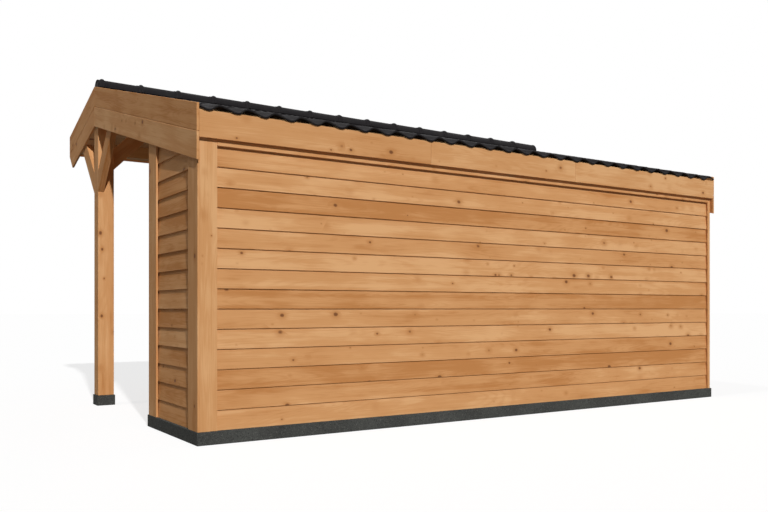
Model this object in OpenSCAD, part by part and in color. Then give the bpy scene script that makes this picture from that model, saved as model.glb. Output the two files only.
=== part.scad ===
// Open-fronted timber barn: an asymmetric saddle roof on three post frames,
// with a long boarded rear wall, a short return wall at one end, a boarded
// wall at the other, and a canopy in front of the posts.
// The open front faces -Y, the long wall faces +Y and the open end faces +X.

/* [Overall] */
// Length over the end wall faces
barn_len = 6020; // [4800:10:7300]
// From the rear wall face to the ridge
rear_span = 3005; // [2400:5:3650]
// From the ridge to the face of the canopy fascia
canopy_reach = 1175; // [950:5:1450]
// Height of the barge boards at the ridge
ridge_h = 3305; // [2750:5:4000]
// Slope of both roof faces, in degrees
roof_pitch = 15; // [12:1:19]

/* [Posts and braces] */
// Side of the square front posts
post_w = 160; // [120:1:200]
// Side of the block under a front post
foot_w = 181; // [130:1:230]
// Height of the block under a front post
foot_h = 105; // [60:1:150]
// Thickness of a knee brace
brace_t = 58; // [40:1:90]
// Depth of a knee brace
brace_d = 155; // [110:1:190]
// Drop of a gable brace from the rafter to its foot
gable_brace_drop = 665; // [500:5:820]
// Drop of a ridge beam brace from the beam to its foot
beam_brace_drop = 427; // [340:1:520]
// Width of the ridge beam
beam_w = 70; // [50:1:100]
// Depth of the ridge beam
beam_d = 190; // [140:1:195]

/* [Walls] */
// Side of the square posts in the walls
wall_post = 120; // [90:1:150]
// Width of a wall stud
stud_w = 50; // [38:1:70]
// Depth of a wall stud
stud_d = 90; // [70:1:120]
// Widest space from stud to stud
stud_pitch = 600; // [400:10:750]
// Thickness of the sole plates
sole_t = 50; // [38:1:70]
// Thickness of the weatherboarding at its laps
cladding_t = 25; // [18:1:34]
// Thickness of the vertical trim boards
trim_t = 16; // [12:1:22]
// Width of the trim on the rear corner
corner_trim_w = 152; // [110:1:200]
// Width of the trims on the return wall
side_trim_w = 202; // [150:1:260]
// Width of the slim strip at the closed end corner
corner_strip_w = 40; // [30:1:60]
// Length of the return wall at the open end
return_len = 1180; // [800:5:1500]
// Height of the strip under the rear fascia
eaves_strip_h = 43; // [30:1:60]
// How far that strip stands in front of the trims
eaves_strip_proud = 3; // [0:0.5:8]

/* [Plinth] */
// Height of the plinth
plinth_h = 100; // [70:1:140]
// Thickness of the plinth
plinth_t = 165; // [150:1:220]
// How far the plinth stands in front of the trims
plinth_proud = 4; // [0:0.5:10]
// How far the plinth runs past a wall that ends
plinth_past = 25; // [0:1:40]

/* [Roof frame] */
// Width of a principal rafter
rafter_w = 70; // [50:1:90]
// Depth of a principal rafter
rafter_d = 190; // [150:1:230]
// How far a canopy rafter keeps its depth past its brace
rafter_heel = 50; // [20:1:120]
// Width of a purlin
purlin_w = 60; // [45:1:80]
// Depth of a purlin
purlin_d = 145; // [110:1:180]
// Purlins on the rear slope
rear_purlin_count = 4; // [3:1:6]
// Purlins on the canopy slope
canopy_purlin_count = 3; // [2:1:4]
// Distance of the highest purlins from the ridge
ridge_purlin_set = 60; // [55:1:90]
// Thickness of the roof boarding
roof_board_t = 20; // [16:1:26]

/* [Roof edges] */
// Thickness of the fascia boards
fascia_t = 20; // [16:1:28]
// Height of the rear fascia
fascia_h = 200; // [160:1:240]
// Height of the canopy fascia
canopy_fascia_h = 168; // [130:1:200]
// How far the rear fascia stands out from the trims
fascia_out = 40; // [30:1:60]
// Thickness of a barge board
barge_t = 20; // [16:1:28]
// Gap between the two barge boards of a slope
barge_gap = 2; // [1:0.5:6]
// Height of the barge tops above the roof boarding
barge_rise = 46; // [40:1:50]
// Plumb cut at the front end of a canopy barge
barge_nose = 232; // [180:1:300]

/* [Roof covering] */
// Spacing of the rolls in the tile sheets
tile_pitch = 222; // [180:1:260]
// Distance of the first trough from the open end wall face
tile_phase = 60; // [0:1:200]
// Height of a roll above its trough
tile_rise = 45; // [40:1:52]
// Thickness of a tile sheet
sheet_t = 3; // [2:0.5:5]
// How far the tile sheets reach past the fascias
tile_over = 25; // [20:1:40]
// Downturn at the lower edge of a tile sheet
tile_lip = 15; // [5:1:18]
// Clearance of a tile sheet from the barges
tile_side_gap = 5; // [2:1:12]
// Distance of the tile sheets from the ridge
tile_ridge_gap = 20; // [10:1:50]
// Outer radius of a ridge cap
cap_r = 100; // [90:1:120]
// Wall of a ridge cap
cap_wall = 6; // [4:1:10]
// Spacing of the ridge cap collars
cap_pitch = 406; // [300:1:450]
// Height of a collar above its cap
collar_rise = 8; // [4:1:14]
// Length of a collar
collar_w = 45; // [25:1:70]
// Plain edge of a ridge cap in front of its collar
cap_lip = 20; // [5:1:40]
// Distance of the first ridge cap from the open end wall face
cap_inset = 5; // [2:1:20]
// How far the ridge caps run past the closed end wall face
cap_past = 113; // [60:1:150]

/* [Hidden] */

// Clearance that keeps laid pieces from cutting into what they lie on
seat = 0.3;
// Straight steps that draw one roll of a tile sheet
roll_steps = 8;
full_turn = 360;
quarter_turn = 90;
half = 0.5;

REAR = 1;
FRONT = -1;

// Colours
larch = "peru";
shaded_larch = "saddlebrown";
concrete = "dimgray";
roof_black = [0.18, 0.17, 0.18];

// The origin is the middle of the whole box, on the ground
box_len = barge_t + barn_len + cap_past;
box_wid = tile_over + fascia_out + rear_span + canopy_reach + tile_over;
open_x = box_len * half - barge_t;
closed_x = open_x - barn_len;
mid_x = (open_x + closed_x) * half;
rear_y = box_wid * half - tile_over - fascia_out;
ridge_y = rear_y - rear_span;

// Layers of the roof, measured square to the slope below the boarding's top
cos_p = cos(roof_pitch);
tan_p = tan(roof_pitch);
sin_p = sin(roof_pitch);
deck_apex = ridge_h - barge_rise;
rafter_top = roof_board_t + purlin_d;
rafter_bottom = rafter_top + rafter_d;
// Two barge boards cover the roof from above the boarding to the rafter's underside
barge_top = -barge_rise * cos_p;
barge_board_w = (rafter_bottom - barge_top - barge_gap) * half;

// Distances from the ridge, measured level
fascia_face = rear_span + fascia_out;
deck_end = fascia_face - fascia_t;
canopy_deck_end = canopy_reach - fascia_t;
frame_face = rear_span - trim_t - cladding_t;
wall_inner = frame_face - wall_post;
post_half = post_w * half;
foot_half = foot_w * half;
base_half = max(post_half, foot_half);

// Heights
wall_top = plane_z(fascia_face, 0) - fascia_h;
canopy_soffit = plane_z(canopy_reach, 0) - canopy_fascia_h;
heel_z = plane_z(wall_inner, rafter_bottom);
post_top = plane_z(post_half, rafter_bottom);
gable_brace_foot = post_top - gable_brace_drop;
beam_brace_foot = post_top - beam_brace_drop;
brace_plumb = brace_d * sqrt(2);

// Middle lines of the front posts, rafters and braces along the barn
end_post_x = [open_x - post_half, closed_x + post_half];
post_xs = [end_post_x[0], mid_x, end_post_x[1]];
rafter_x0 = [open_x - rafter_w, mid_x - rafter_w * half, closed_x];
brace_x0 = [open_x - brace_t, mid_x - brace_t * half, closed_x];

// Rear wall posts: the corner posts stand behind the end cladding
open_frame_x = open_x - trim_t - cladding_t;
closed_frame_x = closed_x + cladding_t;
rear_post_x0 = [
    closed_frame_x,
    mid_x - wall_post * half,
    open_frame_x - wall_post
];
bay_x0 = [rear_post_x0[0] + wall_post, rear_post_x0[1] + wall_post];
bay_x1 = [rear_post_x0[1], rear_post_x0[2]];
frame_y = rear_y - trim_t - cladding_t;
inner_y = frame_y - wall_post;
return_y = rear_y - return_len;

// Height of a plane that lies n below the boarding's top, r from the ridge
function plane_z(r, n) = deck_apex - r * tan_p - n / cos_p;

// The same as a point of a cross-section, on the rear or the front slope
function plumb(side, r, n) = [ridge_y + side * r, plane_z(r, n)];

// A point of a cross-section d down the slope and n below the boarding's top
function sloped(side, d, n) = [
    ridge_y + side * (d * cos_p - n * sin_p),
    deck_apex - d * sin_p - n * cos_p
];

// Places of studs that share a bay evenly
function bay_count(span) = ceil(span / stud_pitch);
function stud_places(from, to) = [
    for (i = [1:bay_count(to - from) - 1])
        from + (to - from) * i / bay_count(to - from)
];

// Draws a Y-Z outline and runs it along the barn
module along(x0, len) {
    translate([x0, 0, 0])
        rotate([quarter_turn, 0, quarter_turn])
            linear_extrude(len)
                children();
}

// Draws an X-Z outline and runs it across the barn
module across(y0, len) {
    translate([0, y0 + len, 0])
        rotate([quarter_turn, 0, 0])
            linear_extrude(len)
                children();
}

module block(x0, x1, y0, y1, z0, z1) {
    translate([x0, y0, z0])
        cube([x1 - x0, y1 - y0, z1 - z0]);
}

// A layer of the roof with plumb ends
module slope_layer(side, r0, r1, n0, n1) {
    polygon([
        plumb(side, r0, n0),
        plumb(side, r1, n0),
        plumb(side, r1, n1),
        plumb(side, r0, n1)
    ]);
}

module rear_plinth() {
    color(concrete)
        block(
            closed_x - plinth_past, open_x + plinth_proud,
            inner_y, rear_y + plinth_proud,
            0, plinth_h
        );
}

module return_plinth() {
    color(concrete)
        block(
            open_x + plinth_proud - plinth_t, open_x + plinth_proud,
            return_y - plinth_past, inner_y,
            0, plinth_h
        );
}

module closed_end_plinth() {
    color(concrete)
        block(
            closed_x - plinth_past, closed_x - plinth_past + plinth_t,
            ridge_y + base_half, inner_y,
            0, plinth_h
        );
}

module post_feet() {
    color(concrete)
        for (x = post_xs)
            block(
                x - foot_half, x + foot_half,
                ridge_y - foot_half, ridge_y + foot_half,
                0, foot_h
            );
}

module rear_wall_posts() {
    color(shaded_larch)
        for (x = rear_post_x0)
            block(x, x + wall_post, inner_y, frame_y, plinth_h, heel_z);
}

module rear_wall_studs() {
    color(shaded_larch)
        for (bay = [0:1], x = stud_places(bay_x0[bay], bay_x1[bay]))
            block(
                x - stud_w * half, x + stud_w * half,
                frame_y - stud_d, frame_y,
                plinth_h + sole_t, heel_z
            );
}

module rear_sole_plates() {
    color(shaded_larch)
        for (bay = [0:1])
            block(
                bay_x0[bay], bay_x1[bay],
                frame_y - stud_d, frame_y,
                plinth_h, plinth_h + sole_t
            );
}

// The head plates lie on the rear posts, between the principal rafters
module rear_head_plates() {
    color(shaded_larch)
        for (bay = [0:1])
            block(
                rafter_x0[bay + 1] + rafter_w, rafter_x0[bay],
                frame_y - stud_d, frame_y,
                heel_z, wall_top
            );
}

// Studs of an end wall, cut to the slope of the rafter above them
module end_wall_stud(x0, y0) {
    along(x0, stud_d)
        polygon([
            [y0, plinth_h + sole_t],
            [y0 + stud_w, plinth_h + sole_t],
            [y0 + stud_w, plane_z(y0 + stud_w - ridge_y, rafter_bottom)],
            [y0, plane_z(y0 - ridge_y, rafter_bottom)]
        ]);
}

module return_studs() {
    color(shaded_larch) {
        for (y = stud_places(return_y + stud_w, inner_y))
            end_wall_stud(open_frame_x - stud_d, y - stud_w * half);
        end_wall_stud(open_frame_x - stud_d, return_y);
    }
}

module return_sole_plate() {
    color(shaded_larch)
        block(
            open_frame_x - stud_d, open_frame_x,
            return_y, inner_y,
            plinth_h, plinth_h + sole_t
        );
}

module closed_end_studs() {
    color(shaded_larch)
        for (y = stud_places(ridge_y + post_half, inner_y))
            end_wall_stud(closed_frame_x, y - stud_w * half);
}

module closed_end_sole_plate() {
    color(shaded_larch)
        block(
            closed_frame_x, closed_frame_x + stud_d,
            ridge_y + base_half, inner_y,
            plinth_h, plinth_h + sole_t
        );
}

module rear_cladding() {
    color(larch)
        block(
            closed_frame_x, open_x - trim_t,
            frame_y, frame_y + cladding_t,
            plinth_h, wall_top
        );
}

// End wall outline from y0 to y1, cut to the slope under the rafter
module end_wall_outline(y0, y1) {
    polygon([
        [y0, plinth_h],
        [y1, plinth_h],
        [y1, plane_z(y1 - ridge_y, rafter_bottom)],
        [y0, plane_z(y0 - ridge_y, rafter_bottom)]
    ]);
}

// The same where the outline passes in front of the rafter's cut-back tail
module end_wall_outline_to_rear(y0, y1) {
    polygon([
        [y0, plinth_h],
        [y1, plinth_h],
        [y1, wall_top],
        [frame_y, wall_top],
        [frame_y, heel_z],
        [inner_y, heel_z],
        [y0, plane_z(y0 - ridge_y, rafter_bottom)]
    ]);
}

module return_cladding() {
    color(larch)
        along(open_x - trim_t - cladding_t, cladding_t)
            difference() {
                end_wall_outline_to_rear(return_y, rear_y);
                translate([frame_y, 0])
                    square([rear_y, wall_top + plinth_h]);
            }
}

module closed_end_cladding() {
    color(larch)
        along(closed_x, cladding_t)
            difference() {
                end_wall_outline_to_rear(ridge_y + post_half, rear_y - trim_t);
                translate([ridge_y, 0])
                    square([foot_half, foot_h]);
            }
}

module rear_corner_trim() {
    color(larch)
        block(
            open_x - corner_trim_w, open_x - trim_t,
            rear_y - trim_t, rear_y,
            plinth_h, wall_top
        );
}

module return_trims() {
    color(larch)
        along(open_x - trim_t, trim_t) {
            end_wall_outline_to_rear(rear_y - side_trim_w, rear_y);
            end_wall_outline(return_y, return_y + side_trim_w);
        }
}

module closed_end_corner_strip() {
    color(larch)
        block(
            closed_x, closed_x + corner_strip_w,
            rear_y - trim_t, rear_y,
            plinth_h, wall_top
        );
}

module eaves_strip() {
    color(larch)
        block(
            closed_x + corner_strip_w, open_x - corner_trim_w,
            rear_y - trim_t, rear_y + eaves_strip_proud,
            wall_top - eaves_strip_h, wall_top
        );
}

module front_post(x) {
    color(larch)
        block(
            x - post_half, x + post_half,
            ridge_y - post_half, ridge_y + post_half,
            foot_h, post_top
        );
}

// The beam lies on the posts, between the principal rafters
module ridge_beam() {
    color(shaded_larch)
        for (bay = [0:1])
            block(
                rafter_x0[bay + 1] + rafter_w, rafter_x0[bay],
                ridge_y - beam_w * half, ridge_y + beam_w * half,
                post_top, post_top + beam_d
            );
}

// A 45 degree brace from a post face up to the beam, run is +1 or -1
module beam_brace(x, run) {
    across(ridge_y - brace_t * half, brace_t)
        polygon([
            [x, beam_brace_foot],
            [x + run * beam_brace_drop, post_top],
            [x + run * (beam_brace_drop - brace_plumb), post_top],
            [x, beam_brace_foot + brace_plumb]
        ]);
}

module beam_braces() {
    color(larch) {
        beam_brace(post_xs[0] - post_half, -1);
        beam_brace(post_xs[1] + post_half, 1);
        beam_brace(post_xs[1] - post_half, -1);
        beam_brace(post_xs[2] + post_half, 1);
    }
}

// Level distance from the ridge at which a 45 degree edge meets the rafter
function brace_reach(foot) = (plane_z(0, rafter_bottom) - foot + post_half) / (1 + tan_p);

module gable_brace(side, x0) {
    low = brace_reach(gable_brace_foot);
    high = brace_reach(gable_brace_foot + brace_plumb);
    along(x0, brace_t)
        polygon([
            [ridge_y + side * post_half, gable_brace_foot],
            plumb(side, low, rafter_bottom),
            plumb(side, high, rafter_bottom),
            [ridge_y + side * post_half, gable_brace_foot + brace_plumb]
        ]);
}

module rear_gable_braces() {
    color(larch)
        for (x = [brace_x0[0], brace_x0[1]])
            gable_brace(REAR, x);
}

module canopy_gable_braces() {
    color(larch)
        for (x = brace_x0)
            gable_brace(FRONT, x);
}

// Principal rafter: flat seats on both posts, and a tail cut back above the wall
module rear_rafter_outline() {
    polygon([
        plumb(REAR, 0, rafter_top),
        plumb(REAR, deck_end, rafter_top),
        [ridge_y + deck_end, wall_top],
        [frame_y, wall_top],
        [frame_y, heel_z],
        [inner_y, heel_z],
        [ridge_y + post_half, post_top],
        [ridge_y, post_top]
    ]);
}

module rear_rafters() {
    color(shaded_larch)
        for (x = rafter_x0)
            along(x, rafter_w)
                rear_rafter_outline();
}

// What is cut from a canopy rafter's tail: 45 degrees up past the brace, then level
module canopy_tail_cut() {
    heel = plumb(FRONT, brace_reach(gable_brace_foot) + rafter_heel, rafter_bottom);
    rise = canopy_soffit - heel[1];
    polygon([
        heel,
        [heel[0] - rise, canopy_soffit],
        [ridge_y - canopy_reach, canopy_soffit],
        [ridge_y - canopy_reach, 0],
        [heel[0], 0]
    ]);
}

module canopy_rafters() {
    color(shaded_larch)
        for (x = rafter_x0)
            along(x, rafter_w)
                union() {
                    difference() {
                        slope_layer(FRONT, 0, canopy_deck_end, rafter_top, rafter_bottom);
                        canopy_tail_cut();
                    }
                    polygon([
                        [ridge_y, post_top],
                        [ridge_y - post_half, post_top],
                        plumb(FRONT, post_half, rafter_top),
                        plumb(FRONT, 0, rafter_top)
                    ]);
                }
}

// Places of the purlins' upper edges, measured down the slope
function last_purlin(reach) = (reach + roof_board_t * sin_p) / cos_p - purlin_w;
function purlin_places(count, reach) = [
    for (i = [0:count - 1])
        ridge_purlin_set + (last_purlin(reach) - ridge_purlin_set) * i / (count - 1)
];

module purlins(side, count, reach) {
    color(shaded_larch)
        for (d = purlin_places(count, reach))
            along(closed_x, barn_len)
                polygon([
                    sloped(side, d, roof_board_t),
                    sloped(side, d + purlin_w, roof_board_t),
                    sloped(side, d + purlin_w, rafter_top),
                    sloped(side, d, rafter_top)
                ]);
}

module rear_purlins() {
    purlins(REAR, rear_purlin_count, deck_end);
}

module canopy_purlins() {
    purlins(FRONT, canopy_purlin_count, canopy_deck_end);
}

module rear_roof_boards() {
    color(shaded_larch)
        along(closed_x, barn_len)
            slope_layer(REAR, 0, deck_end, 0, roof_board_t);
}

module canopy_roof_boards() {
    color(shaded_larch)
        along(closed_x, barn_len)
            slope_layer(FRONT, 0, canopy_deck_end, 0, roof_board_t);
}

module rear_fascia() {
    color(larch)
        block(
            closed_x, open_x,
            ridge_y + deck_end, ridge_y + fascia_face,
            wall_top, wall_top + fascia_h
        );
}

module canopy_fascia() {
    color(larch)
        block(
            closed_x, open_x,
            ridge_y - canopy_reach, ridge_y - canopy_deck_end,
            canopy_soffit, canopy_soffit + canopy_fascia_h
        );
}

// The gap between the two boards of a barge
module barge_seam(side, reach) {
    slope_layer(side, -reach, 2 * reach, barge_top + barge_board_w, barge_top + barge_board_w + barge_gap);
}

module rear_barge(x0) {
    color(larch)
        along(x0, barge_t)
            difference() {
                slope_layer(REAR, 0, fascia_face, barge_top, rafter_bottom);
                barge_seam(REAR, fascia_face);
            }
}

// Nose of a canopy barge: a plumb cut down to z, then a 45 degree chamfer
module canopy_barge_outline(z) {
    run = (z - plane_z(canopy_reach, rafter_bottom)) / (1 + tan_p);
    polygon([
        plumb(FRONT, 0, barge_top),
        plumb(FRONT, canopy_reach, barge_top),
        [ridge_y - canopy_reach, z],
        plumb(FRONT, canopy_reach - run, rafter_bottom),
        plumb(FRONT, 0, rafter_bottom)
    ]);
}

module canopy_barge(x0) {
    nose_z = plane_z(canopy_reach, barge_top) - barge_nose;
    color(larch)
        along(x0, barge_t)
            difference() {
                canopy_barge_outline(nose_z);
                barge_seam(FRONT, canopy_reach);
            }
}

// Height of a tile sheet's underside above its troughs, at a distance from the open end
function roll_z(t) = seat + tile_rise * half * (1 - cos(full_turn * (t - tile_phase) / tile_pitch));

// Roll profile of a sheet, hanging drop below the sheet itself
module tile_profile(drop) {
    step = tile_pitch / roll_steps;
    first = tile_side_gap;
    last = barn_len - tile_side_gap;
    ticks = [for (i = [0:floor((last - first) / step)]) first + i * step];
    places = concat(ticks, [last]);
    count = len(places);
    over = [for (i = [0:count - 1]) [open_x - places[i], roll_z(places[i]) + sheet_t]];
    under = [
        for (i = [count - 1:-1:0])
            [open_x - places[i], roll_z(places[i]) - drop]
    ];
    polygon(concat(over, under));
}

module tiles(side, reach) {
    top_n = seat + tile_rise + sheet_t;
    run = (reach + tile_over - top_n * sin_p) / cos_p;
    color(roof_black)
        translate([0, ridge_y, deck_apex])
            mirror([0, side == REAR ? 1 : 0, 0])
                rotate([quarter_turn + roof_pitch, 0, 0]) {
                    translate([0, 0, tile_ridge_gap])
                        linear_extrude(run - tile_ridge_gap)
                            tile_profile(0);
                    translate([0, 0, run - sheet_t])
                        linear_extrude(sheet_t)
                            tile_profile(tile_lip);
                }
}

module rear_tiles() {
    tiles(REAR, fascia_face);
}

module canopy_tiles() {
    tiles(FRONT, canopy_reach);
}

// Half ring that stands on the tile sheets
module half_ring(outer, inner) {
    crest_n = seat + tile_rise + sheet_t;
    foot_z = plane_z(cap_r - cap_wall, -crest_n) + seat;
    translate([ridge_y, foot_z])
        difference() {
            circle(outer, $fn = 96);
            circle(inner, $fn = 96);
            translate([-outer, -outer])
                square([2 * outer, outer]);
        }
}

module ridge_caps() {
    cap_len = barn_len - cap_inset + cap_past;
    collars = floor((cap_len - cap_lip - collar_w) / cap_pitch);
    color(roof_black) {
        along(closed_x - cap_past, cap_len)
            half_ring(cap_r, cap_r - cap_wall);
        for (i = [0:collars])
            along(open_x - cap_inset - cap_lip - i * cap_pitch - collar_w, collar_w)
                half_ring(cap_r + collar_rise, cap_r - cap_wall * half);
    }
}

rear_plinth();
return_plinth();
closed_end_plinth();
post_feet();
rear_wall_posts();
rear_wall_studs();
rear_sole_plates();
rear_head_plates();
return_studs();
return_sole_plate();
closed_end_studs();
closed_end_sole_plate();
rear_cladding();
return_cladding();
closed_end_cladding();
rear_corner_trim();
return_trims();
closed_end_corner_strip();
eaves_strip();
front_post(post_xs[0]);  // open_end_post
front_post(post_xs[1]);  // middle_post
front_post(post_xs[2]);  // closed_end_post
ridge_beam();
beam_braces();
rear_gable_braces();
canopy_gable_braces();
rear_rafters();
canopy_rafters();
rear_purlins();
canopy_purlins();
rear_roof_boards();
canopy_roof_boards();
rear_fascia();
canopy_fascia();
rear_barge(open_x);  // open_end_rear_barge
canopy_barge(open_x);  // open_end_canopy_barge
rear_barge(closed_x - barge_t);  // closed_end_rear_barge
canopy_barge(closed_x - barge_t);  // closed_end_canopy_barge
rear_tiles();
canopy_tiles();
ridge_caps();
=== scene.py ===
# %% [markdown]
# # An open-fronted timber barn
# A long boarded wall closes the rear, a short return wall stands at the open end
# and a boarded wall shuts the other end. The tiled roof sails out in front over three posts.
# The construction model already holds the place and outer size of every piece, so this
# lesson loads it as a fixed frame and gives each piece its real boards, edges and finish.

# %% Load the construction model
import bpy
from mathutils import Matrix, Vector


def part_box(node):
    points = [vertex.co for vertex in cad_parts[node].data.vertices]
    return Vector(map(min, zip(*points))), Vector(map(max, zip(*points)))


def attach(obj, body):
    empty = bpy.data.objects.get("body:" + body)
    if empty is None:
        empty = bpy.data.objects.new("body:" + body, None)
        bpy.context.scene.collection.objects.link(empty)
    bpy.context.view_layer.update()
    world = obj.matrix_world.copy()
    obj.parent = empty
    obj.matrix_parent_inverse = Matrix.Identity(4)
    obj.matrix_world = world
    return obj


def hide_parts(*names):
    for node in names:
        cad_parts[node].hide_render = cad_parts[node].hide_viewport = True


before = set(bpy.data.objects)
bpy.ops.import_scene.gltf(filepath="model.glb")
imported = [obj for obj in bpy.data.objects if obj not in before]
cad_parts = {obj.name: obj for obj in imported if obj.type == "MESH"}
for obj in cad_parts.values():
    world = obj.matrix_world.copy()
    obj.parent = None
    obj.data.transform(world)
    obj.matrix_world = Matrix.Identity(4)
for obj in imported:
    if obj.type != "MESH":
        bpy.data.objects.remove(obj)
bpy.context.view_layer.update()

# %% [markdown]
# ## Places to build from
# The maker of a barn works from a few lines: the outer faces of the walls, the line
# of the ridge and the slope of the boarding. They could be typed in again as numbers,
# but reading them off the model's own pieces keeps the two in step. Only the pitch of
# the roof is typed, as the boxes round the pieces don't give an angle.

# %% Main lines of the barn
import math
import random
import bpy
import bmesh
from mathutils import Matrix, Vector

random.seed(47)
MM = 0.001
MERGE = 0.01 * MM
UP = Vector((0, 0, 1))
CLOSED_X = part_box("rear_fascia")[0].x
OPEN_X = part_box("rear_fascia")[1].x
RIDGE_Y = (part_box("middle_post")[0].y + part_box("middle_post")[1].y) / 2
DECK_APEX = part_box("rear_roof_boards")[1].z
WALL_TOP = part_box("rear_cladding")[1].z
PLINTH_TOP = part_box("rear_plinth")[1].z
HEEL_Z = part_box("rear_wall_posts")[1].z
WALL_INNER_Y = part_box("rear_wall_posts")[0].y
FRAME_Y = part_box("rear_wall_posts")[1].y
PITCH = math.radians(15)
REAR = 1
FRONT = -1


def down_slope(side):
    return Vector((0, side * math.cos(PITCH), -math.sin(PITCH)))


def off_slope(side):
    return Vector((0, side * math.sin(PITCH), math.cos(PITCH)))


print("length", OPEN_X - CLOSED_X, "ridge line at", RIDGE_Y, DECK_APEX)

# %% [markdown]
# ## The camera
# The barn is seen from behind, low down and from near the open end. The camera stays
# level, so that the posts and boards stay upright, and a small shift lifts the view
# instead of a tilt.

# %% Camera
EYE = (5.0995, 7.700, 1.0)
EYE_TURN = math.radians(146.99)
LEVEL = math.radians(90)
LENS = 37.68
LENS_SHIFT = 0.0686
camera_data = bpy.data.cameras.new("camera")
camera_data.lens = LENS
camera_data.sensor_width = 36
camera_data.shift_y = LENS_SHIFT
camera = bpy.data.objects.new("camera", camera_data)
camera.location = EYE
camera.rotation_euler = (LEVEL, 0, EYE_TURN)
bpy.context.scene.collection.objects.link(camera)
bpy.context.scene.camera = camera
print("camera stands at", camera.location)

# %% [markdown]
# ## Small helpers for materials
# A node tree is easier to read when each step is one line. A value that is a socket
# gets linked and a plain number is typed in, so one helper serves both.

# %% Node helpers
GRAIN = "grain"
TONE = "tone"
LOW_SHEEN = 0.05


def rgba(red, green, blue):
    return (red, green, blue, 1.0)


def feed(tree, socket, value):
    if isinstance(value, bpy.types.NodeSocket):
        tree.links.new(value, socket)
    else:
        socket.default_value = value


def maths(tree, operation, first, second=0.0):
    node = tree.nodes.new("ShaderNodeMath")
    node.operation = operation
    feed(tree, node.inputs[0], first)
    feed(tree, node.inputs[1], second)
    return node.outputs[0]


def stretched(tree, vector, factors):
    node = tree.nodes.new("ShaderNodeVectorMath")
    node.operation = "MULTIPLY"
    feed(tree, node.inputs[0], vector)
    node.inputs[1].default_value = factors
    return node.outputs[0]


def noise(tree, vector, scale, detail):
    node = tree.nodes.new("ShaderNodeTexNoise")
    feed(tree, node.inputs["Vector"], vector)
    node.inputs["Scale"].default_value = scale
    node.inputs["Detail"].default_value = detail
    return node.outputs[0]


def remap(tree, value, low, high, new_low, new_high):
    node = tree.nodes.new("ShaderNodeMapRange")
    node.interpolation_type = "SMOOTHSTEP"
    for place, entry in enumerate((value, low, high, new_low, new_high)):
        feed(tree, node.inputs[place], entry)
    return node.outputs[0]


def blend_colours(tree, amount, first, second, mode="MIX"):
    node = tree.nodes.new("ShaderNodeMix")
    node.data_type = "RGBA"
    node.blend_type = mode
    feed(tree, node.inputs[0], amount)
    feed(tree, node.inputs[6], first)
    feed(tree, node.inputs[7], second)
    return node.outputs[2]


print("node helpers ready")

# %% [markdown]
# ## Larch as a shader group
# Planed larch shows long growth rings, fine streaks, soft cloudy patches and small
# dark knots that the rings bend round. Every timber on the barn needs this, so it is
# built once as a group. It reads a place inside each board, with X along the length,
# rather than one place in the world: otherwise all boards would look cut from one block.
# Contour lines of a stretched noise give the flame figure of a flat-sawn board.

# %% Larch group
# How finely each pattern runs along, across and through a board
KNOT_RUN = (0.75, 1, 0.3)
FIGURE_RUN = (0.5, 6, 6)
STREAK_RUN = (5, 170, 170)
CLOUD_RUN = (1.9, 6, 6)
BAND_RUN = (0.3, 17, 17)
KNOT_SCALE = 8.5
KNOT_EDGE = (0.055, 0.105)
HALO_EDGE = (0.05, 0.36)
RING_COUNT = 150
INPUTS = (
    ("Grain", "NodeSocketVector"),
    ("Tone", "NodeSocketFloat"),
    ("Light", "NodeSocketColor"),
    ("Mid", "NodeSocketColor"),
    ("Dark", "NodeSocketColor"),
    ("Knot", "NodeSocketColor"),
    ("Rings", "NodeSocketFloat"),
    ("Knots", "NodeSocketFloat"),
)
OUTPUTS = (
    ("Color", "NodeSocketColor"),
    ("Roughness", "NodeSocketFloat"),
    ("Height", "NodeSocketFloat"),
)


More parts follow.
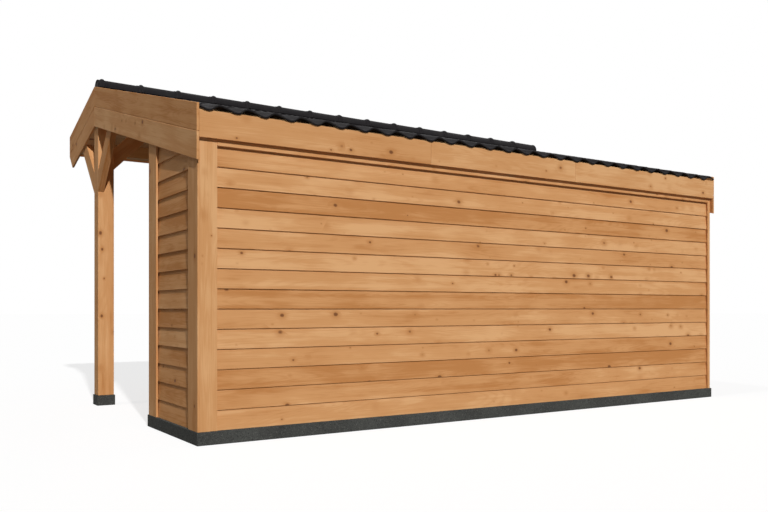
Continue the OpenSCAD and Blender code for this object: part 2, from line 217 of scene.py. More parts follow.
def build_larch_group():
    tree = bpy.data.node_groups.new("larch grain", "ShaderNodeTree")
    for name, kind in INPUTS:
        tree.interface.new_socket(name, in_out="INPUT", socket_type=kind)
    for name, kind in OUTPUTS:
        tree.interface.new_socket(name, in_out="OUTPUT", socket_type=kind)
    given = tree.nodes.new("NodeGroupInput").outputs
    wanted = tree.nodes.new("NodeGroupOutput").inputs
    grain = given["Grain"]

    cells = tree.nodes.new("ShaderNodeTexVoronoi")
    feed(tree, cells.inputs["Vector"], stretched(tree, grain, KNOT_RUN))
    cells.inputs["Scale"].default_value = KNOT_SCALE
    dice = tree.nodes.new("ShaderNodeSeparateColor")
    feed(tree, dice.inputs[0], cells.outputs["Color"])
    present = maths(tree, "LESS_THAN", dice.outputs[0], given["Knots"])
    size = remap(tree, maths(tree, "POWER", dice.outputs[1], 2.5), 0, 1, 0.5, 1.9)
    wobble = maths(tree, "MULTIPLY", noise(tree, grain, 60, 2), 0.035)
    reach = maths(tree, "ADD", cells.outputs["Distance"], wobble)
    reach = maths(tree, "DIVIDE", reach, size)
    core = remap(tree, reach, *KNOT_EDGE, 1, 0)
    core = maths(tree, "MULTIPLY", core, present)
    halo = remap(tree, reach, *HALO_EDGE, 1, 0)
    halo = maths(tree, "MULTIPLY", halo, present)

    figure = noise(tree, stretched(tree, grain, FIGURE_RUN), 1, 1.2)
    figure = maths(tree, "ADD", figure, maths(tree, "MULTIPLY", halo, 0.03))
    wave = maths(tree, "SINE", maths(tree, "MULTIPLY", figure, RING_COUNT))
    late = remap(tree, wave, -0.1, 1, 0, 1)
    late = maths(tree, "MULTIPLY", late, given["Rings"])
    streak = noise(tree, stretched(tree, grain, STREAK_RUN), 1, 4)
    clouds = noise(tree, stretched(tree, grain, CLOUD_RUN), 1, 3)
    bands = noise(tree, stretched(tree, grain, BAND_RUN), 1, 2)

    shade = given["Tone"]
    for pattern, weight in ((clouds, 1.5), (bands, 1.3), (streak, 0.6)):
        lift = maths(tree, "MULTIPLY", maths(tree, "SUBTRACT", pattern, 0.5), weight)
        shade = maths(tree, "ADD", shade, lift)
    shade = maths(tree, "ADD", shade, maths(tree, "MULTIPLY", late, 0.25))
    lower = remap(tree, shade, 0, 0.5, 0, 1)
    upper = remap(tree, shade, 0.5, 1.1, 0, 1)
    colour = blend_colours(tree, lower, given["Light"], given["Mid"])
    colour = blend_colours(tree, upper, colour, given["Dark"])
    ringed = maths(tree, "MULTIPLY", maths(tree, "POWER", halo, 2), 0.75)
    colour = blend_colours(tree, ringed, colour, given["Dark"])
    colour = blend_colours(tree, maths(tree, "MULTIPLY", core, 0.85), colour, given["Knot"])
    feed(tree, wanted["Color"], colour)

    dull = remap(tree, streak, 0.2, 0.8, 0.58, 0.76)
    dull = maths(tree, "SUBTRACT", dull, maths(tree, "MULTIPLY", core, 0.15))
    feed(tree, wanted["Roughness"], dull)
    relief = maths(tree, "ADD", streak, maths(tree, "MULTIPLY", late, 0.4))
    relief = maths(tree, "SUBTRACT", relief, maths(tree, "MULTIPLY", core, 0.5))
    feed(tree, wanted["Height"], relief)
    return tree


larch_group = build_larch_group()
print("larch group has", len(larch_group.nodes), "nodes")

# %% [markdown]
# ## Timber materials from the group
# Boards, trims and posts are planed from the same larch, with rings and knots of
# slightly different strength. The roof timbers inside are rougher because they are
# sawn, and their colours are painted paler and greyer as painted light, to lift the
# shade under the roof. Separate materials made by hand could drift apart, so one
# function makes them all, and only the colours, rings, knots and relief change.

# %% Timber materials


def attribute(tree, name):
    node = tree.nodes.new("ShaderNodeAttribute")
    node.attribute_name = name
    return node


def timber(name, light, mid, dark, rings, knots, bump=0.35):
    material = bpy.data.materials.new(name)
    material.use_nodes = True
    tree = material.node_tree
    shader = tree.nodes["Principled BSDF"]
    larch = tree.nodes.new("ShaderNodeGroup")
    larch.node_tree = larch_group
    feed(tree, larch.inputs["Grain"], attribute(tree, GRAIN).outputs["Vector"])
    feed(tree, larch.inputs["Tone"], attribute(tree, TONE).outputs["Fac"])
    larch.inputs["Light"].default_value = light
    larch.inputs["Mid"].default_value = mid
    larch.inputs["Dark"].default_value = dark
    larch.inputs["Knot"].default_value = KNOT_LARCH
    larch.inputs["Rings"].default_value = rings
    larch.inputs["Knots"].default_value = knots
    relief = tree.nodes.new("ShaderNodeBump")
    relief.inputs["Strength"].default_value = bump
    relief.inputs["Distance"].default_value = 0.8 * MM
    feed(tree, relief.inputs["Height"], larch.outputs["Height"])
    feed(tree, shader.inputs["Base Color"], larch.outputs["Color"])
    feed(tree, shader.inputs["Roughness"], larch.outputs["Roughness"])
    feed(tree, shader.inputs["Normal"], relief.outputs["Normal"])
    shader.inputs["Specular IOR Level"].default_value = LOW_SHEEN
    return material


LIGHT_LARCH = rgba(0.700, 0.390, 0.180)
MID_LARCH = rgba(0.610, 0.305, 0.124)
DARK_LARCH = rgba(0.490, 0.212, 0.070)
KNOT_LARCH = rgba(0.150, 0.055, 0.024)
PLANED = (LIGHT_LARCH, MID_LARCH, DARK_LARCH)
# Painted light: the sawn colours are paler and greyer than the planed larch, to brighten the
# shaded timbers under the roof
SAWN_PAINTED_PALER = (rgba(0.660, 0.435, 0.235), rgba(0.580, 0.365, 0.185), rgba(0.460, 0.265, 0.120))
board_larch = timber("larch weatherboard", *PLANED, rings=0.45, knots=0.95)
trim_larch = timber("larch trim", *PLANED, rings=0.5, knots=0.97)
post_larch = timber("larch post", *PLANED, rings=0.4, knots=0.85)
# The inner roof timbers get these sawn colours, painted paler as light for their shade
sawn_larch_painted_paler = timber("sawn larch painted paler", *SAWN_PAINTED_PALER, rings=0.6, knots=0.85, bump=0.7)
print("timbers:", board_larch.name, trim_larch.name, post_larch.name, sawn_larch_painted_paler.name)

# %% [markdown]
# ## The dark plinth
# The plinth and the post feet are cast in dark concrete: a matt ground with pale and
# dark grains, cloudy damp patches and tiny pits. The grains follow the object's own
# coordinates, because a cast block has no direction.

# %% Plinth material
STONE_DARK = rgba(0.052, 0.053, 0.049)
STONE_PALE = rgba(0.072, 0.074, 0.068)
STONE_DUST = rgba(0.11, 0.11, 0.10)
PALE_GRAINS = rgba(0.19, 0.19, 0.175)
BLACK_GRAINS = rgba(0.022, 0.022, 0.022)
GRAIN_SCALE = 190


def cast_stone():
    material = bpy.data.materials.new("dark cast stone")
    material.use_nodes = True
    tree = material.node_tree
    shader = tree.nodes["Principled BSDF"]
    place = tree.nodes.new("ShaderNodeTexCoord").outputs["Object"]
    grains = tree.nodes.new("ShaderNodeTexVoronoi")
    grains.inputs["Scale"].default_value = GRAIN_SCALE
    feed(tree, grains.inputs["Vector"], place)
    dice = tree.nodes.new("ShaderNodeSeparateColor")
    feed(tree, dice.inputs[0], grains.outputs["Color"])
    patches = noise(tree, place, 3.5, 5)
    dust = noise(tree, place, 42, 4)
    damp = remap(tree, patches, 0.3, 0.7, 0, 1)
    ground = blend_colours(tree, damp, STONE_DARK, STONE_PALE)
    dusty = remap(tree, dust, 0.55, 0.8, 0, 0.5)
    ground = blend_colours(tree, dusty, ground, STONE_DUST)
    pale = remap(tree, dice.outputs[0], 0.88, 0.95, 0, 0.35)
    ground = blend_colours(tree, pale, ground, PALE_GRAINS)
    black = remap(tree, dice.outputs[1], 0.86, 0.93, 0, 0.7)
    ground = blend_colours(tree, black, ground, BLACK_GRAINS)
    relief = tree.nodes.new("ShaderNodeBump")
    relief.inputs["Strength"].default_value = 0.5
    relief.inputs["Distance"].default_value = 1.2 * MM
    feed(tree, relief.inputs["Height"], maths(tree, "ADD", dust, dice.outputs[2]))
    feed(tree, shader.inputs["Base Color"], ground)
    feed(tree, shader.inputs["Roughness"], remap(tree, patches, 0.3, 0.7, 0.78, 0.93))
    feed(tree, shader.inputs["Normal"], relief.outputs["Normal"])
    shader.inputs["Specular IOR Level"].default_value = LOW_SHEEN
    return material


stone = cast_stone()
print("stone has", len(stone.node_tree.nodes), "nodes")

# %% [markdown]
# ## The black roof coating
# The tile sheets and the ridge caps are steel with a baked black coating that is
# faintly grained. A little pale dust lies on it in patches, and its sheen changes with
# them. The coating stays nonmetallic, because paint hides the steel.

# %% Roof material
COATING_DARK = rgba(0.0120, 0.0110, 0.0118)
COATING_PALE = rgba(0.0200, 0.0180, 0.0195)
ROOF_DUST = rgba(0.034, 0.032, 0.031)
SPECK_SCALE = 320
DUST_RUN = (14, 1.6, 1.6)


def black_coating():
    material = bpy.data.materials.new("black roof coating")
    material.use_nodes = True
    tree = material.node_tree
    shader = tree.nodes["Principled BSDF"]
    place = tree.nodes.new("ShaderNodeTexCoord").outputs["Object"]
    patches = noise(tree, place, 2.2, 5)
    specks = noise(tree, place, SPECK_SCALE, 2)
    runs = noise(tree, stretched(tree, place, DUST_RUN), 1, 3)
    dusty_patches = remap(tree, patches, 0.42, 0.75, 0, 1)
    dusty_runs = remap(tree, runs, 0.35, 0.7, 0, 0.8)
    dusty = maths(tree, "MULTIPLY", dusty_patches, dusty_runs)
    speckled = remap(tree, specks, 0.35, 0.65, 0, 1)
    ground = blend_colours(tree, speckled, COATING_DARK, COATING_PALE)
    ground = blend_colours(tree, dusty, ground, ROOF_DUST)
    sheen = remap(tree, patches, 0.3, 0.7, 0.55, 0.68)
    sheen = maths(tree, "ADD", sheen, maths(tree, "MULTIPLY", dusty, 0.25))
    relief = tree.nodes.new("ShaderNodeBump")
    relief.inputs["Strength"].default_value = 0.25
    relief.inputs["Distance"].default_value = 0.4 * MM
    feed(tree, relief.inputs["Height"], specks)
    feed(tree, shader.inputs["Base Color"], ground)
    feed(tree, shader.inputs["Roughness"], sheen)
    feed(tree, shader.inputs["Normal"], relief.outputs["Normal"])
    shader.inputs["Specular IOR Level"].default_value = LOW_SHEEN
    return material


coating = black_coating()
print("coating has", len(coating.node_tree.nodes), "nodes")

# %% [markdown]
# ## Boards that know their own grain
# Each board carries two attributes on its points: where the point lies inside its
# board, and how dark that board is. A UV map could hold the same, but it would need
# an unwrap for each face, while an attribute carries on round the corners of a board
# as real grain does. A random shift picks another part of the log for every board.

# %% Marking boards and making pieces
# How far from the middle of one endless log a board may lie, in metres
LOG = 60


def new_bmesh():
    bm = bmesh.new()
    bm.verts.layers.float_vector.new(GRAIN)
    bm.verts.layers.float.new(TONE)
    return bm


def mark_grain(bm, verts, along, across, tone):
    grain = bm.verts.layers.float_vector[GRAIN]
    shade = bm.verts.layers.float[TONE]
    through = along.cross(across)
    log = Vector([random.uniform(-LOG, LOG) for _ in range(3)])
    for vert in verts:
        place = Vector((vert.co.dot(along), vert.co.dot(across), vert.co.dot(through)))
        vert[grain] = place + log
        vert[shade] = tone


def pile_up(pile, board):
    mesh = bpy.data.meshes.new("board")
    board.to_mesh(mesh)
    board.free()
    pile.from_mesh(mesh)
    bpy.data.meshes.remove(mesh)


def finish_piece(name, bm, material, node):
    mesh = bpy.data.meshes.new(name)
    bm.to_mesh(mesh)
    bm.free()
    mesh.materials.append(material)
    piece = bpy.data.objects.new(name, mesh)
    bpy.context.scene.collection.objects.link(piece)
    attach(piece, "root")
    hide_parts(node)
    print(name, "has", len(mesh.polygons), "faces")
    return piece


def round_edges(bm, radius, segments=1):
    bmesh.ops.bevel(
        bm, geom=bm.edges[:], offset=radius, offset_type="OFFSET",
        segments=segments, profile=0.5, affect="EDGES", material=-1,
    )


print("each board carries", GRAIN, "and", TONE)

# %% [markdown]
# ## Dressing the solid timbers
# Posts, beams, rafters, purlins, studs and trims already have their true shape in the
# construction model. A carpenter only takes off their sharp edges. So a copy of each
# is merged from its loose triangles, its flat faces are joined up, and every arris is
# rounded. A Bevel modifier could round them too, but edges rounded in the mesh can be
# marked with their grain. The grain of each timber runs along its longest edge.

# %% Dress a timber
FLAT = math.radians(0.5)


def islands(bm):
    seen = set()
    groups = []
    for start in bm.verts:
        if start in seen:
            continue
        seen.add(start)
        group = [start]
        for reached in group:
            for edge in reached.link_edges:
                other = edge.other_vert(reached)
                if other not in seen:
                    seen.add(other)
                    group.append(other)
        groups.append(group)
    return groups


def timber_axes(group):
    edges = list(dict.fromkeys(edge for vert in group for edge in vert.link_edges))
    spans = sorted(
        ((edge.verts[1].co - edge.verts[0].co) for edge in edges),
        key=lambda span: (round(span.length, 5), tuple(round(abs(c), 4) for c in span)),
        reverse=True,
    )
    along = spans[0].normalized()
    side_spans = [span for span in spans if abs(span.normalized().dot(along)) < 0.5]
    across = side_spans[0] - along * side_spans[0].dot(along)
    return along, across.normalized()


def dress(node, material, edge=2.5 * MM, tones=(0.3, 0.7)):
    bm = new_bmesh()
    bm.from_mesh(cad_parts[node].data)
    bmesh.ops.remove_doubles(bm, verts=bm.verts, dist=MERGE)
    bmesh.ops.dissolve_limit(bm, angle_limit=FLAT, verts=bm.verts[:], edges=bm.edges[:])
    round_edges(bm, edge, 2)
    for group in islands(bm):
        along, across = timber_axes(group)
        mark_grain(bm, group, along, across, random.uniform(*tones))
    return finish_piece(node + "_dressed", bm, material, node)


FRAME_TIMBERS = (
    "rear_wall_posts", "rear_wall_studs", "rear_sole_plates", "rear_head_plates",
    "return_studs", "return_sole_plate", "closed_end_studs", "closed_end_sole_plate",
    "rear_rafters", "canopy_rafters", "rear_purlins", "canopy_purlins", "ridge_beam",
)
for node in FRAME_TIMBERS:
    dress(node, sawn_larch_painted_paler)
POST_TIMBERS = (
    "open_end_post", "middle_post", "closed_end_post",
    "beam_braces", "rear_gable_braces", "canopy_gable_braces",
)
for node in POST_TIMBERS:
    dress(node, post_larch, edge=3 * MM, tones=(0.35, 0.6))
TRIM_BOARDS = ("rear_corner_trim", "return_trims", "closed_end_corner_strip", "eaves_strip")
for node in TRIM_BOARDS:
    dress(node, trim_larch, edge=1.5 * MM, tones=(0.3, 0.6))
BARGE_BOARDS = (
    "open_end_rear_barge", "open_end_canopy_barge",
    "closed_end_rear_barge", "closed_end_canopy_barge",
)
for node in BARGE_BOARDS:
    dress(node, trim_larch, edge=4 * MM, tones=(0.35, 0.65))
for node in ("rear_plinth", "return_plinth", "closed_end_plinth", "post_feet"):
    dress(node, stone, edge=4 * MM)

# %% [markdown]
# ## Tapered weatherboards
# A weatherboard is sawn to a taper, thick at its foot and thin at its top, and each
# board laps over the one below. The shadow under every thick foot is what draws the
# lines across the wall, so the boards are modelled rather than painted. One board is
# a four-cornered outline extruded along the wall; boards on the end walls are then
# cut to the slope of the rafter with a plane.

# %% Weatherboards
COURSE = 150 * MM
BOARD_H = 170 * MM
FOOT_OUT = 25 * MM
FOOT_IN = 11.6 * MM
TAPER_OUT = 15.5 * MM
TAPER_IN = 11.1 * MM
BOARD_EDGE = 0.8 * MM


def cut_off(bm, point, facing):
    """Takes away what lies past a plane through point, on the side that it faces."""
    bmesh.ops.bisect_plane(
        bm, geom=bm.verts[:] + bm.edges[:] + bm.faces[:], dist=MERGE,
        plane_co=point, plane_no=facing, clear_outer=True,
    )


def fill_cuts(bm):
    open_edges = [edge for edge in bm.edges if edge.is_boundary]
    bmesh.ops.holes_fill(bm, edges=open_edges, sides=0)


def weatherboard(start, run, out, height, tone, cut=None):
    """A board that starts at start, runs along run and faces out, cut to the slope at cut."""
    share = height / BOARD_H
    bm = new_bmesh()
    corners = (
        start + out * FOOT_IN,
        start + out * FOOT_OUT,
        start + out * (FOOT_OUT - TAPER_OUT * share) + UP * height,
        start + out * (FOOT_IN - TAPER_IN * share) + UP * height,
    )
    outline = bm.faces.new([bm.verts.new(corner) for corner in corners])
    grown = bmesh.ops.extrude_face_region(bm, geom=[outline])["geom"]
    far = [item for item in grown if isinstance(item, bmesh.types.BMVert)]
    bmesh.ops.translate(bm, verts=far, vec=run)
    bmesh.ops.recalc_face_normals(bm, faces=bm.faces)
    if cut is not None:
        cut_off(bm, cut, off_slope(REAR))
        fill_cuts(bm)
    round_edges(bm, BOARD_EDGE)
    mark_grain(bm, bm.verts, run.normalized(), UP, tone)
    return bm


# Tones of the rear courses from the plinth up: pale, brown and reddish boards mixed
REAR_TONES = (0.4, 0.6, 0.85, 0.6, 0.2, 0.45, 0.8, 0.4, 0.2, 0.45, 0.25, 0.85, 0.25, 0.4, 0.4)


def rear_boards():
    low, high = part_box("rear_cladding")
    pile = new_bmesh()
    for count, tone in enumerate(REAR_TONES):
        foot = PLINTH_TOP + count * COURSE
        start = Vector((low.x, low.y, foot))
        run = Vector((high.x - low.x, 0, 0))
        height = min(BOARD_H, WALL_TOP - foot)
        pile_up(pile, weatherboard(start, run, Vector((0, 1, 0)), height, tone))
    return finish_piece("rear_weatherboards", pile, board_larch, "rear_cladding")


rear_boards()

# %% [markdown]
# ## End wall boards
# The end walls reach up under the sloping rafter. Boards that stand above the slope
# are cut by its plane: a boolean with the rafter could do it too, but one plane is
# simpler and leaves clean edges. Over the rear posts the rafter has a level heel, and
# short square pieces of board close the corner beside it.

# %% End walls
LEAST_BOARD = 5 * MM
HEEL_ROOM = 20 * MM
WHOLE_TOP = HEEL_Z - (FRAME_Y - WALL_INNER_Y) * math.tan(PITCH) - HEEL_ROOM


def end_boards(name, node, back_x, out, from_y, to_y):
    pile = new_bmesh()
    heel = Vector((0, WALL_INNER_Y, HEEL_Z))
    corner_ends = ((WALL_INNER_Y, min(FRAME_Y, to_y), HEEL_Z), (FRAME_Y, to_y, WALL_TOP))
    peak = HEEL_Z + (WALL_INNER_Y - from_y) * math.tan(PITCH)
    foot = PLINTH_TOP
    while foot < peak - LEAST_BOARD:
        tone = random.uniform(0.2, 0.9)
        whole = foot + BOARD_H < WHOLE_TOP
        stop_y = to_y if whole else WALL_INNER_Y
        start = Vector((back_x, from_y, foot))
        run = Vector((0, stop_y - from_y, 0))
        cut = None if whole else heel
        pile_up(pile, weatherboard(start, run, out, BOARD_H, tone, cut))
        for low_y, high_y, top in () if whole else corner_ends:
            height = min(BOARD_H, top - foot)
            if high_y > low_y and height > LEAST_BOARD:
                start = Vector((back_x, low_y, foot))
                run = Vector((0, high_y - low_y, 0))
                pile_up(pile, weatherboard(start, run, out, height, tone))
        foot += COURSE
    return finish_piece(name, pile, board_larch, node)


low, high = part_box("return_cladding")
outward = Vector((1, 0, 0))
end_boards("return_weatherboards", "return_cladding", low.x, outward, low.y, high.y)
low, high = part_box("closed_end_cladding")
end_boards("closed_end_weatherboards", "closed_end_cladding", high.x, -outward, low.y, high.y)

# %% [markdown]
# ## Fascias
# A fascia six metres long is seldom one board. Here it is butted together from three,
# and the joints show. It could be one box with the joints painted on, but a real gap
# takes its own shadow. A plank is a cube scaled to size with its edges taken off,
# which is quicker to read than an outline for a plain box.

# %% Fascias
# Distances of the joints from the open end
JOINTS = (2074 * MM, 3830 * MM)
JOINT_GAP = 1.2 * MM
FASCIA_EDGE = 1.5 * MM


def plank(low, high, edge):
    bm = new_bmesh()
    bmesh.ops.create_cube(bm, size=1)
    bmesh.ops.scale(bm, verts=bm.verts, vec=high - low)
    bmesh.ops.translate(bm, verts=bm.verts, vec=(high + low) / 2)
    round_edges(bm, edge)
    return bm


def fascia(name, node):
    low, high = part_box(node)
    stops = [high.x] + [high.x - joint for joint in JOINTS] + [low.x]
    pile = new_bmesh()
    for near, far in zip(stops, stops[1:]):
        gap_near = 0 if near == high.x else JOINT_GAP / 2
        gap_far = 0 if far == low.x else JOINT_GAP / 2
        board = plank(
            Vector((far + gap_far, low.y, low.z)),
            Vector((near - gap_near, high.y, high.z)),
            FASCIA_EDGE,
        )
        mark_grain(board, board.verts, Vector((1, 0, 0)), UP, random.uniform(0.15, 0.5))
        pile_up(pile, board)
    return finish_piece(name, pile, trim_larch, node)


fascia("rear_fascia_boards", "rear_fascia")
fascia("canopy_fascia_boards", "canopy_fascia")

# %% [markdown]
# ## Roof boarding
# The boarding is laid down the slope on the purlins, with small V-shaped joints that
# are seen from under the roof. One slab with lines would look flat there, so each
# board is a plank, made level at the ridge, turned to the pitch and then cut upright
# at the ridge and at the eaves.

# %% Roof boarding
ROOF_BOARD_W = 146 * MM
ROOF_BOARD_T = 20 * MM
ROOF_BOARD_EDGE = 2 * MM


def roof_boards(name, node, side):
    low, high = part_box(node)
    reach = max(abs(low.y - RIDGE_Y), abs(high.y - RIDGE_Y))
    length = reach / math.cos(PITCH) + 2 * ROOF_BOARD_T
    count = math.ceil((high.x - low.x) / ROOF_BOARD_W)
    width = (high.x - low.x) / count
    turn = Matrix.Rotation(-side * PITCH, 3, "X")
    pile = new_bmesh()
    for place in range(count):
        first = low.x + place * width
        ends = sorted((-side * ROOF_BOARD_T, side * length))
        board = plank(
            Vector((first, ends[0], -ROOF_BOARD_T)),
            Vector((first + width, ends[1], 0)),
            ROOF_BOARD_EDGE,
        )
        bmesh.ops.rotate(board, verts=board.verts, matrix=turn)
        bmesh.ops.translate(board, verts=board.verts, vec=(0, RIDGE_Y, DECK_APEX))
        for plane_y, facing in ((RIDGE_Y, -side), (RIDGE_Y + side * reach, side)):
            cut_off(board, (0, plane_y, 0), (0, facing, 0))
            fill_cuts(board)
        tone = random.uniform(0.2, 0.8)
        mark_grain(board, board.verts, down_slope(side), Vector((1, 0, 0)), tone)
        pile_up(pile, board)
    return finish_piece(name, pile, sawn_larch_painted_paler, node)


roof_boards("rear_roof_boarding", "rear_roof_boards", REAR)
roof_boards("canopy_roof_boarding", "canopy_roof_boards", FRONT)

# %% [markdown]
# ## Tile sheets
# The roof is covered with pressed sheets that look like pantiles. Across the roof each
# roll rises steeply from a narrow trough and falls away gently; down the roof the sheet
# climbs a little through each row and drops at a step. Single tiles set side by side
# would show joints that a pressed sheet hasn't, so a chain of edges in the shape of
# the rolls is extruded down the slope, once for each row and once for each step.
# The top ends of the troughs are turned up under the ridge, as a roofer does to keep
# driven rain out. A Solidify modifier then gives the sheet its thickness.

# %% Tile sheets
ROLL = 222 * MM
FIRST_TROUGH = 60 * MM
ROLL_RISE = 36 * MM
STEP_RISE = 8 * MM
STEP_RUN = 3 * MM
ROW = 350 * MM
SHEET_T = 2.6 * MM
SHEET_SEAT = 3.4 * MM
EDGE_DROP = 15 * MM
LIP_DROP = 4 * MM
EAVES_GAP = 1 * MM
UPSTAND = 4 * MM
RIDGE_GAP = 20 * MM
# Shares of a roll's width and of its rise, from one trough to the next
ROLL_SHAPE = (
    (0.00, 0.00), (0.06, 0.03), (0.12, 0.14), (0.18, 0.38), (0.24, 0.68),
    (0.30, 0.91), (0.36, 1.00), (0.44, 0.97), (0.54, 0.83), (0.64, 0.62),
    (0.74, 0.40), (0.84, 0.19), (0.92, 0.06),
)


def roll_points(length):
    """Distances from the open end and heights of the rolls, over the whole sheet."""
    points = []
    roll = -1
    while roll * ROLL + FIRST_TROUGH < length:
        for share, rise in ROLL_SHAPE:
            points.append((FIRST_TROUGH + (roll + share) * ROLL, rise * ROLL_RISE))
        roll += 1
    inside = [point for point in points if 0 < point[0] < length]
    return [(0, inside[0][1])] + inside + [(length, inside[-1][1])]


def tile_sheets(name, node, side):
    low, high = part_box(node)
    reach = max(abs(low.y - RIDGE_Y), abs(high.y - RIDGE_Y))
    top = ROLL_RISE + STEP_RISE + SHEET_SEAT
    length = (reach - top * math.sin(PITCH)) / math.cos(PITCH) - EAVES_GAP
    rows = round((length - RIDGE_GAP) / ROW)
    row = (length - RIDGE_GAP - rows * STEP_RUN) / rows
    down = down_slope(side)
    off = off_slope(side)
    corner = Vector((high.x, RIDGE_Y, DECK_APEX)) + down * RIDGE_GAP + off * SHEET_SEAT
    bm = new_bmesh()
    chain = []
    for distance, rise in roll_points(high.x - low.x):
        chain.append(bm.verts.new(corner + Vector((-distance, 0, 0)) + off * rise))
    edges = [bm.edges.new(pair) for pair in zip(chain, chain[1:])]
    turned_up = bmesh.ops.extrude_edge_only(bm, edges=edges)["geom"]
    for vert in [item for item in turned_up if isinstance(item, bmesh.types.BMVert)]:
        rise = (vert.co - corner).dot(off)
        vert.co += off * (ROLL_RISE + UPSTAND - rise)
    moves = [down * row + off * STEP_RISE, down * STEP_RUN - off * STEP_RISE] * rows
    moves[-1] = down * STEP_RUN - off * LIP_DROP
    moves.append(off * -(EDGE_DROP - LIP_DROP))
    for move in moves:
        grown = bmesh.ops.extrude_edge_only(bm, edges=edges)["geom"]
        for edge in edges:
            edge.smooth = False
        edges = [item for item in grown if isinstance(item, bmesh.types.BMEdge)]
        verts = [item for item in grown if isinstance(item, bmesh.types.BMVert)]
        bmesh.ops.translate(bm, verts=verts, vec=move)
        edges = [edge for edge in edges if all(vert in verts for vert in edge.verts)]
    bmesh.ops.recalc_face_normals(bm, faces=bm.faces)
    if sum(face.normal.z for face in bm.faces) < 0:
        bmesh.ops.reverse_faces(bm, faces=bm.faces)
    for face in bm.faces:
        face.smooth = True
    piece = finish_piece(name, bm, coating, node)
    shell = piece.modifiers.new("sheet thickness", "SOLIDIFY")
    shell.thickness = SHEET_T
    shell.offset = -1
    return piece


tile_sheets("rear_tile_sheets", "rear_tiles", REAR)
tile_sheets("canopy_tile_sheets", "canopy_tiles", FRONT)

# %% [markdown]
# ## Ridge caps
# Half-round caps ride over the ridge, each with a raised collar at its near end that
# covers the tail of the one before. A cap is a turned shape cut in half, so a chain of
# edges along its length is spun through half a turn. The first and last caps are shut
# with a pressed end.

# %% Ridge caps
CAP_PITCH = 406 * MM
CAP_WALL = 4 * MM
CAP_COUNT = 15
TAIL_IN = 9 * MM
COLLAR_UP = 8 * MM
CAP_BODY = 420
HALF_TURN_STEPS = 28
END_INSET = 6 * MM
# Millimetres along the cap from its near end, and out from its radius
CAP_SHAPE = (
    (0, -5), (2, -4), (24, -4), (29, 1), (34, 5), (40, 7.5), (47, 8), (54, 7.5), (60, 5),
    (65, 1), (70, -4), (CAP_BODY, -8),
)


def cap_chain(length, radius):
    for along, rise in CAP_SHAPE:
        yield min(along * MM, length), radius + rise * MM
    if length > CAP_BODY * MM:
        yield length, radius - TAIL_IN


def half_turn(points, axis_z, first_x):
    bm = new_bmesh()
    centre = Vector((first_x, RIDGE_Y, axis_z))
    chain = [bm.verts.new(centre + Vector((-along, radius, 0))) for along, radius in points]
    edges = [bm.edges.new(pair) for pair in zip(chain, chain[1:])]
    bmesh.ops.spin(
        bm, geom=chain + edges, cent=centre, axis=(1, 0, 0), angle=math.pi,
        steps=HALF_TURN_STEPS, use_merge=False,
    )
    return bm


def ridge_caps():
    low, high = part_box("ridge_caps")
    radius = high.z - low.z - COLLAR_UP
    length = (high.x - low.x) - (CAP_COUNT - 1) * CAP_PITCH
    pile = new_bmesh()
    for count in range(CAP_COUNT):
        first_x = high.x - count * CAP_PITCH
        pile_up(pile, half_turn(cap_chain(length, radius), low.z, first_x))
    for x, inset in ((high.x, 1), (low.x, -1)):
        end_radius = radius - CAP_WALL
        end = new_bmesh()
        disc = bmesh.ops.create_circle(
            end, cap_ends=True, segments=2 * HALF_TURN_STEPS, radius=end_radius,
        )["verts"]
        bmesh.ops.rotate(end, verts=disc, matrix=Matrix.Rotation(math.pi / 2, 3, "Y"))
        bmesh.ops.translate(end, verts=disc, vec=(x - inset * END_INSET, RIDGE_Y, low.z))
        cut_off(end, (0, 0, low.z), (0, 0, -1))
        pile_up(pile, end)
    bmesh.ops.recalc_face_normals(pile, faces=pile.faces)
    for face in pile.faces:
        face.smooth = True
        middle = face.calc_center_median()
        away = middle - Vector((middle.x, RIDGE_Y, low.z))
        if face.normal.dot(away) < 0 and abs(face.normal.x) < 0.9:
            face.normal_flip()
    piece = finish_piece("ridge_cap_row", pile, coating, "ridge_caps")
    shell = piece.modifiers.new("cap thickness", "SOLIDIFY")
    shell.thickness = CAP_WALL
    shell.offset = -1
    return piece


ridge_caps()

# %% [markdown]
# ## Floor and sky
# The barn stands on a plain pale studio floor under a white sky. White paint and a
# bright sky would also pour light onto the barn and wash out its shadows. So both are
# bright only to the camera and in reflections, and other rays meet a darker floor and
# a dim sky.

# %% Floor and sky
FLOOR_SIZE = 150
FLOOR_SEEN = rgba(0.4, 0.4, 0.4)
FLOOR_GLOW = 0.65
FLOOR_FOR_LIGHT = rgba(0.18, 0.18, 0.18)
SKY_FOR_LIGHT = 0.13


def seen_directly(tree):
    path = tree.nodes.new("ShaderNodeLightPath").outputs
    seen = maths(tree, "MAXIMUM", path["Is Camera Ray"], path["Is Glossy Ray"])
    return maths(tree, "MAXIMUM", seen, path["Is Transmission Ray"])


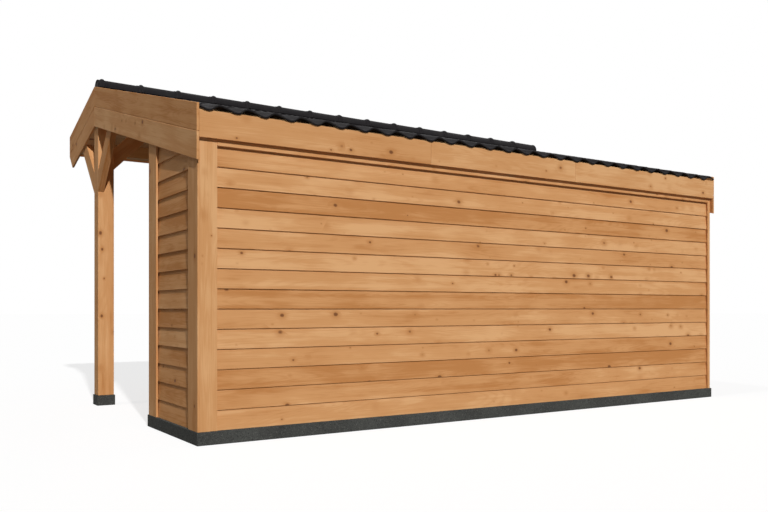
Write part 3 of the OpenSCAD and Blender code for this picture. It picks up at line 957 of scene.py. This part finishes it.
def build_floor():
    bm = bmesh.new()
    bmesh.ops.create_grid(bm, x_segments=1, y_segments=1, size=FLOOR_SIZE)
    mesh = bpy.data.meshes.new("floor")
    bm.to_mesh(mesh)
    bm.free()
    floor = bpy.data.objects.new("floor", mesh)
    bpy.context.scene.collection.objects.link(floor)
    material = bpy.data.materials.new("studio floor")
    material.use_nodes = True
    tree = material.node_tree
    tree.nodes.remove(tree.nodes["Principled BSDF"])
    paint = tree.nodes.new("ShaderNodeBsdfDiffuse")
    paint.inputs["Color"].default_value = FLOOR_SEEN
    glow = tree.nodes.new("ShaderNodeEmission")
    glow.inputs["Strength"].default_value = FLOOR_GLOW
    pale = tree.nodes.new("ShaderNodeAddShader")
    feed(tree, pale.inputs[0], paint.outputs[0])
    feed(tree, pale.inputs[1], glow.outputs[0])
    dim = tree.nodes.new("ShaderNodeBsdfDiffuse")
    dim.inputs["Color"].default_value = FLOOR_FOR_LIGHT
    choice = tree.nodes.new("ShaderNodeMixShader")
    feed(tree, choice.inputs[0], seen_directly(tree))
    feed(tree, choice.inputs[1], dim.outputs[0])
    feed(tree, choice.inputs[2], pale.outputs[0])
    feed(tree, tree.nodes["Material Output"].inputs["Surface"], choice.outputs[0])
    mesh.materials.append(material)
    return floor


def build_sky():
    world = bpy.data.worlds.new("studio sky")
    bpy.context.scene.world = world
    world.use_nodes = True
    tree = world.node_tree
    sky = tree.nodes["Background"]
    sky.inputs["Color"].default_value = rgba(1, 1, 1)
    feed(tree, sky.inputs["Strength"], remap(tree, seen_directly(tree), 0, 1, SKY_FOR_LIGHT, 1))
    return world


build_floor()
build_sky()
print("floor and sky ready")

# %% [markdown]
# ## Lamps
# A low sun lights the long wall from behind the camera, and a weak high one gives the
# open end its shape. The front would stay nearly black. Turning the sky up would lift
# every shadow on the long wall too, so a wide lamp without shadows, which reflections
# don't see, lights only what is turned towards the front.

# %% Lamps


def sun(name, bearing, height, strength, softness):
    """Bearing turns from the rear of the barn towards its open end, in degrees."""
    level = math.cos(math.radians(height))
    towards = (
        level * math.sin(math.radians(bearing)),
        level * math.cos(math.radians(bearing)),
        math.sin(math.radians(height)),
    )
    data = bpy.data.lights.new(name, "SUN")
    data.energy = strength
    data.angle = math.radians(softness)
    lamp = bpy.data.objects.new(name, data)
    lamp.rotation_mode = "QUATERNION"
    lamp.rotation_quaternion = (-Vector(towards)).to_track_quat("-Z", "Y")
    bpy.context.scene.collection.objects.link(lamp)
    return lamp


sun("key", bearing=11, height=28, strength=2.85, softness=1.5)
sun("side fill", bearing=87, height=57, strength=0.28, softness=3)
front_fill = sun("front fill", bearing=180, height=35, strength=1.2, softness=20)
front_fill.data.use_shadow = False
front_fill.visible_glossy = False
bpy.context.scene.view_settings.view_transform = "Standard"
print("lamps:", [lamp.name for lamp in bpy.data.lights])
